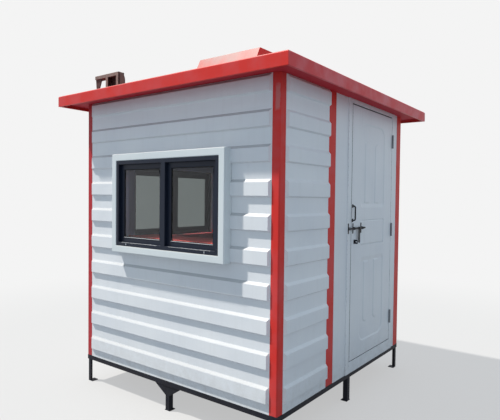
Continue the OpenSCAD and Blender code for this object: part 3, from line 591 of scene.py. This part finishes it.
# Folds and arrises: each listed node is shown as a merged copy with its edges rounded, millimetres
rounding = {
    "post_front_left": 2.0, "post_front_right": 2.0, "post_back_right": 2.0, "post_back_left": 2.0,
    "door_side_post": 4.0,
    "front_cladding": 3.0, "left_cladding": 3.0, "back_cladding": 3.0, "door_side_cladding": 3.0,
    "front_window_casing": 6.0, "left_window_casing": 6.0,
    "front_window_frame": 1.5, "left_window_frame": 1.5,
    "front_window_sashes": 1.5, "left_window_sashes": 1.5,
    "window_counter": 3.0, "door_jambs": 2.5, "door_head": 2.5, "door_sill": 2.5, "door_leaf": 1.7,
    "fascia_front": 1.0, "fascia_right": 1.0, "fascia_back": 1.0, "fascia_left": 1.0,
    "roof_cowl": 5.0, "roof_bracket": 2.0, "base_frame": 3.0, "corner_legs": 1.5, "middle_legs": 1.5,
    "frame_hinges": 0.6, "door_hinges": 0.6, "door_handle": 1.0, "bolt_fittings": 0.8, "bolt_keeper": 0.8,
    "bolt_rod": 2.0, "hasp": 1.2,
}
folding = {
    "merge": 0.00002,      # metres
    "flat": 0.6,           # degrees between triangles that are one face
    "least": 24,           # degrees from which an edge is a fold
    "room": 2.2,           # radii that a face beside it is wide
    "fine": 1.0,           # millimetres, the largest radius that takes the fewer segments
    "segments": (2, 3),
}


# Edges from the sharp angle on, in degrees, stay crisp
def placePiece(bm, name, body, material, sharp=40):
    mesh = bpy.data.meshes.new(name)
    bm.to_mesh(mesh)
    bm.free()
    mesh.materials.append(material)
    for face in mesh.polygons:
        face.use_smooth = True
    mesh.set_sharp_from_angle(angle=math.radians(sharp))
    piece = bpy.data.objects.new(name, mesh)
    scene.collection.objects.link(piece)
    flat = piece.modifiers.new("flat faces", "WEIGHTED_NORMAL")
    flat.keep_sharp = True
    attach(piece, body)
    return piece


# Copies a node's mesh with doubles merged and flat triangles joined
def mergedCopy(node):
    bm = bmesh.new()
    bm.from_mesh(node.data)
    bmesh.ops.remove_doubles(bm, verts=bm.verts, dist=folding["merge"])
    bmesh.ops.dissolve_limit(bm, angle_limit=math.radians(folding["flat"]), verts=bm.verts, edges=bm.edges)
    return bm


# Rounds every fold whose two faces are wide enough for the radius
def roundFolds(bm, radius):
    wear = bm.faces.layers.float.get("wear") or bm.faces.layers.float.new("wear")
    least, offset = math.radians(folding["least"]), radius / 1000
    few, many = folding["segments"]
    folds = []
    for edge in bm.edges:
        if len(edge.link_faces) != 2 or edge.calc_face_angle() < least:
            continue
        room = min(face.calc_area() for face in edge.link_faces) / edge.calc_length()
        if room > folding["room"] * offset:
            folds.append(edge)
    made = bmesh.ops.bevel(bm, geom=folds, offset=offset, offset_type="OFFSET", affect="EDGES",
                           segments=many if radius > folding["fine"] else few, profile=0.5, material=-1,
                           clamp_overlap=True)
    for face in made["faces"]:
        face[wear] = 1.0


# A bar between two corners
def addBar(bm, low, high):
    low, high = Vector(low), Vector(high)
    size = Matrix.Diagonal((*(high - low), 1))
    return bmesh.ops.create_cube(bm, size=1.0, matrix=Matrix.Translation((low + high) / 2) @ size)


# Door leaf, pressed from one sheet; places are millimetres from its lower corner on the lock side
pressing = {
    "depth": 6, "slope": 14,               # of a pressed step
    "sides": (166, 656),                   # of the three panels
    "sunk": ((850, 117), (1276, 2003)),    # inner and outer end of the lower and upper panel
    "ramp": 18, "rampZone": 100,           # longer slope at the inner end, and how far its corners reach
    "outerRound": 95, "innerRound": 40,
    "flutes": ((815, 274), (1311, 1848)),  # inner and outer end of the raised flutes in each
    "fluteSides": ((245, 337), (451, 543)),
    "fluteRound": 44, "fluteSquare": 14,
    "field": (954, 1172), "fieldRound": 17, "fieldGroove": 3,
    "roundSegments": 6,
    "sharp": 10,                           # degrees from which a step's edge stays crisp
}
samePlace = 1e-6  # metres within which two heights are the same


# A flat outline that faces +X, with its own corner radius at each end
def leafOutline(bm, sides, ends, rounds, x):
    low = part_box("door_leaf")[0]
    (left, right), (bottom, top) = (sorted(pair) for pair in (sides, ends))
    corners = [(left, bottom), (right, bottom), (right, top), (left, top)]
    verts = [bm.verts.new((x, low.y + y / 1000, low.z + z / 1000)) for y, z in corners]
    outline = bm.faces.new(verts)
    for end, radius in zip(ends, rounds):
        turned = [vert for vert in outline.verts if abs(vert.co.z - low.z - end / 1000) < samePlace]
        made = bmesh.ops.bevel(bm, geom=turned, offset=radius / 1000, offset_type="OFFSET", affect="VERTICES",
                               segments=pressing["roundSegments"], profile=0.5, material=-1)
        outline = made["verts"][0].link_faces[0]
    return outline


# Gives the step's outer edges, for the sheet round it
def stepIn(bm, outline, wide, rise):
    made = bmesh.ops.inset_region(bm, faces=[outline], thickness=wide, depth=rise, use_boundary=True,
                                  use_even_offset=True)
    return [edge for face in made["faces"] for edge in face.edges if edge.is_boundary]


# A sunk panel with two raised flutes; gives its outer edges
def pressPanel(bm, ends, fluteEnds):
    low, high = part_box("door_leaf")
    depth, slope = pressing["depth"] / 1000, pressing["slope"] / 1000
    rounds = (pressing["innerRound"], pressing["outerRound"])
    sunk = leafOutline(bm, pressing["sides"], ends, rounds, high.x)
    outer = stepIn(bm, sunk, slope, -depth)
    # The inner end runs out in a longer slope
    inward = 1 if ends[1] > ends[0] else -1
    zone = pressing["rampZone"] / 1000
    closing = [vert for vert in sunk.verts if abs(vert.co.z - low.z - ends[0] / 1000) < zone]
    bmesh.ops.translate(bm, verts=closing, vec=(0, 0, inward * pressing["ramp"] / 1000))
    bed = list(sunk.edges)
    bmesh.ops.delete(bm, geom=[sunk], context="FACES_ONLY")
    rounds = (pressing["fluteSquare"], pressing["fluteRound"])
    for sides in pressing["fluteSides"]:
        flute = leafOutline(bm, sides, fluteEnds, rounds, high.x - depth)
        bed += stepIn(bm, flute, slope, depth)
    bmesh.ops.triangle_fill(bm, use_beauty=True, edges=bed, normal=(1, 0, 0))
    return outer


def pressLeaf(radius):
    bm = bmesh.new()
    low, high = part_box("door_leaf")
    addBar(bm, low, high)
    roundFolds(bm, radius)
    depth, slope = pressing["depth"] / 1000, pressing["slope"] / 1000
    front = max((face for face in bm.faces if face.normal.x > 0.9), key=lambda face: face.calc_area())
    rim = list(front.edges)
    bmesh.ops.delete(bm, geom=[front], context="FACES_ONLY")
    for ends, fluteEnds in zip(pressing["sunk"], pressing["flutes"]):
        rim += pressPanel(bm, ends, fluteEnds)
    groove = pressing["fieldGroove"] / 1000
    rounds = (pressing["fieldRound"], pressing["fieldRound"])
    field = leafOutline(bm, pressing["sides"], pressing["field"], rounds, high.x)
    rim += stepIn(bm, field, groove, -depth)
    stepIn(bm, field, slope - groove, depth)
    bmesh.ops.triangle_fill(bm, use_beauty=True, edges=rim, normal=(1, 0, 0))
    bmesh.ops.recalc_face_normals(bm, faces=bm.faces)
    return bm


# The way that each wall faces
facing = {
    "front": Vector((0, -1, 0)), "left": Vector((-1, 0, 0)),
    "back": Vector((0, 1, 0)), "door_side": Vector((1, 0, 0)),
}

# Ribs drawn to their full height, out from the plane of each sheet
ribs = {"solid": 13, "shown": 16.5}  # millimetres


def raiseRibs(bm, side):
    out = facing[side]
    sheet = max(vert.co.dot(out) for vert in bm.verts) - ribs["solid"] / 1000
    raised = [vert for vert in bm.verts if vert.co.dot(out) > sheet]
    grow = ribs["shown"] / ribs["solid"]
    factors = [grow if abs(part) > 0.5 else 1.0 for part in out]
    bmesh.ops.scale(bm, vec=factors, space=Matrix.Translation(-sheet * out), verts=raised)


gussets = {"tip": (90, 150), "longer": 48}  # millimetres from the leg's middle, and what is added


def lengthenGussets(bm):
    near, far = (size / 1000 for size in gussets["tip"])
    for side in (-1, 1):
        tips = [vert for vert in bm.verts if near < side * vert.co.x < far]
        bmesh.ops.translate(bm, verts=tips, vec=(side * gussets["longer"] / 1000, 0, 0))


# Window casings and frames reach less far out: millimetres of the front edge that moves, and how far
windowFront = {"edge": 5, "pushed": 11}


def pushFront(bm, side):
    out = facing[side]
    front = max(vert.co.dot(out) for vert in bm.verts) - windowFront["edge"] / 1000
    edge = [vert for vert in bm.verts if vert.co.dot(out) > front]
    bmesh.ops.translate(bm, verts=edge, vec=-windowFront["pushed"] / 1000 * out)


# A node's merged copy with its own changes and rounded folds
def formNode(nodeName, radius):
    bm = mergedCopy(frame["nodes"][nodeName])
    if nodeName.endswith("_cladding"):
        raiseRibs(bm, nodeName.removesuffix("_cladding"))
    if nodeName.endswith(("_window_casing", "_window_frame")):
        pushFront(bm, nodeName.split("_")[0])
    if nodeName == "middle_legs":
        lengthenGussets(bm)
    roundFolds(bm, radius)
    return bm


for nodeName, radius in rounding.items():
    node = frame["nodes"][nodeName]
    body, slot, finish = node["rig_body"], slotOf[nodeName], node.data.materials[0]
    if nodeName == "door_leaf":
        piece = placePiece(pressLeaf(radius), "formed_" + nodeName, body, finish, pressing["sharp"])
    else:
        piece = placePiece(formNode(nodeName, radius), "formed_" + nodeName, body, finish)
    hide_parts(nodeName)
print("folds rounded on", len(rounding), "nodes")


def roundAll(bm, radius):
    bmesh.ops.bevel(bm, geom=list(bm.edges), offset=radius / 1000, offset_type="OFFSET", affect="EDGES",
                    segments=2, profile=0.5, material=-1, clamp_overlap=True)


# The axis along each window; both windows face the low side of the other level axis
windows = {"front": 0, "left": 1}
glazing = {
    "gasket": (5, 3),      # millimetres of a rubber gasket over the pane and out of it
    # The bead and the sill bead are pale bare aluminium strips: painted glints along the leaves' and frame's
    # lower edges
    "glintBead": (3, 3),        # of the bare bead under a pane, up and out of the leaf
    "sillGlint": (2, 1),    # of the bare edge along the frame's lower bar
    "round": 1,
    "cap": (7, 14, 3),     # of a drain cap, wide, high and out of the frame
    "capInset": 130,       # from the frame's end to a drain cap
    "capRound": 1.5,
}


def dressWindow(side, along):
    across = 1 - along
    glassLow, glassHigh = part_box(side + "_window_glass")
    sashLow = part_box(side + "_window_sashes")[0]
    frameLow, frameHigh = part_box(side + "_window_frame")
    stops = sorted({round(v.co[along], 4) for v in frame["nodes"][side + "_window_glass"].data.vertices})
    panes = [(stops[0], stops[1]), (stops[2], stops[3])]

    # A bar between two places along the wall, two heights and two depths
    def addStrip(bm, ends, heights, depths):
        corners = [Vector((0, 0, up)) for up in heights]
        for corner, end, depth in zip(corners, ends, depths):
            corner[along], corner[across] = end, depth
        addBar(bm, *corners)

    wide, proud = (size / 1000 for size in glazing["gasket"])
    bottom, top = (glassLow.z, glassLow.z + wide), (glassHigh.z - wide, glassHigh.z)
    between = (bottom[1], top[0])
    outer, inner = glassLow[across], glassHigh[across]
    gaskets = bmesh.new()
    for start, end in panes:
        for depths in ((outer - proud, outer), (inner, inner + proud)):
            addStrip(gaskets, (start, end), bottom, depths)
            addStrip(gaskets, (start, end), top, depths)
            addStrip(gaskets, (start, start + wide), between, depths)
            addStrip(gaskets, (end - wide, end), between, depths)
    roundAll(gaskets, glazing["round"])
    placePiece(gaskets, side + "_glazing_gaskets", "booth", rubber)

    leafFront, ledge = sashLow[across], sashLow.z
    frameFront = frameLow[across] + windowFront["pushed"] / 1000
    # Bare aluminium strips under the panes and along the frame's lower bar: painted glints
    glintBeads = bmesh.new()
    high, proud = (size / 1000 for size in glazing["glintBead"])
    for pane in panes:
        addStrip(glintBeads, pane, (glassLow.z - high, glassLow.z), (leafFront - proud, leafFront + proud))
    high, proud = (size / 1000 for size in glazing["sillGlint"])
    for pane in panes:
        addStrip(glintBeads, pane, (ledge - high, ledge), (frameFront - proud, frameFront + proud))
    roundAll(glintBeads, glazing["round"])
    placePiece(glintBeads, side + "_painted_glint_beads", "booth", glintAluminium)

    caps = bmesh.new()
    wide, high, proud = (size / 1000 for size in glazing["cap"])
    inset = glazing["capInset"] / 1000
    middle = (frameLow.z + ledge) / 2
    for place in (frameLow[along] + inset, frameHigh[along] - inset):
        addStrip(caps, (place - wide / 2, place + wide / 2), (middle - high / 2, middle + high / 2),
                 (frameFront - proud, frameFront + proud))
    roundAll(caps, glazing["capRound"])
    placePiece(caps, side + "_drain_caps", "booth", nylon)


for side, along in windows.items():
    dressWindow(side, along)
print("windows dressed")

# Rubber seal in the running gap round the door, on the frame; at the head and on the lock side it sits near
# the face, where its black paints the gap's shade
doorSealAndShade = {
    "gap": (7.5, 7.5, 10),   # millimetres at the sides, sill and head
    "wide": 4,
    "depth": (31, 38),       # behind the leaf's face, at the sides and sill
    "headShadeDepth": (6, 14),
    "lockShadeWide": 5.5,         # of the second strip on the lock side
    "lockShadeDepth": (1, 9),
    "round": 1.2,
}


def sealDoorAndShadeGap():
    low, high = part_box("door_leaf")
    sides, sill, head = (size / 1000 for size in doorSealAndShade["gap"])
    wide, lockShadeWide = doorSealAndShade["wide"] / 1000, doorSealAndShade["lockShadeWide"] / 1000
    shallow, deep = (high.x - size / 1000 for size in doorSealAndShade["depth"])
    shallowHead, deepHead = (high.x - size / 1000 for size in doorSealAndShade["headShadeDepth"])
    shallowLock, deepLock = (high.x - size / 1000 for size in doorSealAndShade["lockShadeDepth"])
    lock, hinge = low.y - sides, high.y + sides
    bottom, top = low.z - sill, high.z + head
    bm = bmesh.new()
    for y in (lock, hinge - wide):
        addBar(bm, (deep, y, bottom), (shallow, y + wide, top))
    # The lock side's second strip, near the face: painted shade of the gap
    addBar(bm, (deepLock, lock, bottom), (shallowLock, lock + lockShadeWide, top))
    addBar(bm, (deep, lock + wide, bottom), (shallow, hinge - wide, bottom + wide))
    addBar(bm, (deepHead, lock + wide, top - wide), (shallowHead, hinge - wide, top))
    roundAll(bm, doorSealAndShade["round"])
    placePiece(bm, "door_seal_and_gap_shade", "booth", rubber)


sealDoorAndShadeGap()

# Red cover plate on the post behind the hinges, as wide as the post beside the door
coverPlate = {"wide": 108, "thick": 3, "proud": 1.5, "corner": 10, "round": 1}  # millimetres


def coverPost():
    low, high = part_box("post_back_right")
    wide, thick, proud, corner = (coverPlate[key] / 1000 for key in ("wide", "thick", "proud", "corner"))
    outer = high.x + proud
    bm = bmesh.new()
    addBar(bm, (outer - thick, high.y - wide, low.z), (outer, high.y - corner, high.z))
    roundAll(bm, coverPlate["round"])
    placePiece(bm, "post_cover_plate", "booth", materials["red_paint"])


coverPost()

# Domed screws with a socket, on plates that face +X
screws = {
    "radius": 2.6, "rise": 1.6,      # millimetres
    "crown": 0.75, "socket": 0.45,   # shares of the radius
    "segments": 12,
}


def addScrew(bm, at):
    radius, rise = screws["radius"] / 1000, screws["rise"] / 1000
    middle = Vector(at) + Vector((rise / 2, 0, 0))
    turned = Matrix.Translation(middle) @ Matrix.Rotation(math.radians(90), 4, "Y")
    made = bmesh.ops.create_cone(bm, cap_ends=True, segments=screws["segments"], radius1=radius,
                                 radius2=screws["crown"] * radius, depth=rise, matrix=turned)
    faces = {face for vert in made["verts"] for face in vert.link_faces}
    top = max(faces, key=lambda face: face.calc_center_median().x)
    rim = (screws["crown"] - screws["socket"]) * radius
    bmesh.ops.inset_region(bm, faces=[top], thickness=rim, use_boundary=True)
    bmesh.ops.translate(bm, verts=top.verts, vec=(-rise / 2, 0, 0))


def screwPlates(name, body, places):
    bm = bmesh.new()
    for at in places:
        addScrew(bm, at)
    placePiece(bm, name, body, materials["black_hardware"])


fixing = {
    "foot": (14, 9),        # millimetres from the handle's end to its foot's middle, and on to a screw
    "footThick": 3,
    "plate": 3,             # thickness of the bolt's plates
    "guideEdge": 8,         # from a guide's upper or lower end to a screw
    "guideWide": 14,
}


def fixDoorFittings():
    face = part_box("door_leaf")[1].x
    handleLow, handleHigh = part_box("door_handle")
    middle = (handleLow.y + handleHigh.y) / 2
    foot, step = (size / 1000 for size in fixing["foot"])
    screwPlates("handle_screws", "door", [
        (face + fixing["footThick"] / 1000, middle, end + side * step)
        for end in (handleLow.z + foot, handleHigh.z - foot) for side in (-1, 1)])
    plate = face + fixing["plate"] / 1000
    edge, half = fixing["guideEdge"] / 1000, fixing["guideWide"] / 2000
    keeperLow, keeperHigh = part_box("bolt_keeper")
    ends = (keeperLow.z + edge, keeperHigh.z - edge)
    screwPlates("keeper_screws", "booth", [(plate, (keeperLow.y + keeperHigh.y) / 2, z) for z in ends])
    guidesLow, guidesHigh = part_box("bolt_fittings")
    guides = (guidesLow.y + half, guidesHigh.y - half)
    screwPlates("guide_screws", "door", [(plate, y, z) for y in guides for z in ends])


fixDoorFittings()
print("door sealed and fittings screwed on")
